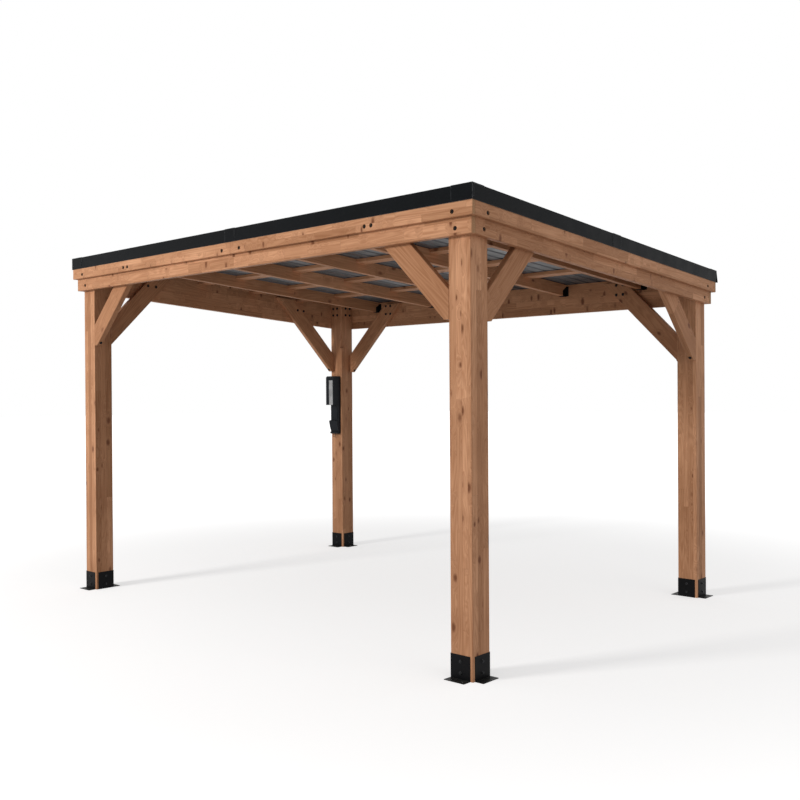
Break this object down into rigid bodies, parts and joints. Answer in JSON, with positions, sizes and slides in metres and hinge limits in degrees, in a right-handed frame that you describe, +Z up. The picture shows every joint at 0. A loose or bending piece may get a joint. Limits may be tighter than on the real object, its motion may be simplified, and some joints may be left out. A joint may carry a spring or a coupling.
{
  "type": "single-slope garden gazebo",
  "caption": "Free-standing open timber garden gazebo with knee-braced posts, deep perimeter beams and a ribbed steel roof that slopes to the back.",
  "frame": {"origin": "on the floor, in the middle of the four posts", "axes": "+X along the high front edge, +Y towards the low back edge, +Z up"},
  "size_m": [3.771, 2.831, 2.4567],
  "materials": {
    "post_timber": "satin stain on planed laminated timber",
    "brace_timber": "satin stain on planed timber",
    "beam_timber": "satin stain on finger-jointed staves",
    "roof_timber": "satin stain on planed timber",
    "roof_steel": "satin dark coating on ribbed sheet",
    "trim_steel": "satin dark powder coat",
    "bracket_steel": "textured black powder coat",
    "outlet_plastic": "matt black moulding"
  },
  "bodies": {
    "root": {"post_front_left": "post_timber", "post_front_right": "post_timber", "post_back_left": "post_timber", "post_back_right": "post_timber", "brace_front_left_along": "brace_timber", "brace_front_left_across": "brace_timber", "brace_front_right_along": "brace_timber", "brace_front_right_across": "brace_timber", "brace_back_left_along": "brace_timber", "brace_back_left_across": "brace_timber", "brace_back_right_along": "brace_timber", "brace_back_right_across": "brace_timber", "header_front": "beam_timber", "header_back": "beam_timber", "header_left": "beam_timber", "header_right": "beam_timber", "fascia_front_left": "beam_timber", "fascia_front_right": "beam_timber", "fascia_back_left": "beam_timber", "fascia_back_right": "beam_timber", "fascia_left": "beam_timber", "fascia_right": "beam_timber", "rafter_1": "roof_timber", "rafter_2": "roof_timber", "rafter_3": "roof_timber", "rafter_4": "roof_timber", "rafter_5": "roof_timber", "purlin_1": "roof_timber", "purlin_2": "roof_timber", "purlin_3": "roof_timber", "purlin_4": "roof_timber", "roof_sheet_left": "roof_steel", "roof_sheet_right": "roof_steel", "roof_trim_front": "trim_steel", "roof_trim_back": "trim_steel", "roof_trim_left": "trim_steel", "roof_trim_right": "trim_steel", "roof_trim_caps": "trim_steel", "joist_hangers": "bracket_steel", "post_base_front_left": "bracket_steel", "post_base_front_right": "bracket_steel", "post_base_back_left": "bracket_steel", "post_base_back_right": "bracket_steel", "outlet_housing": "outlet_plastic", "outlet_hood": "outlet_plastic"}
  },
  "joints": []
}
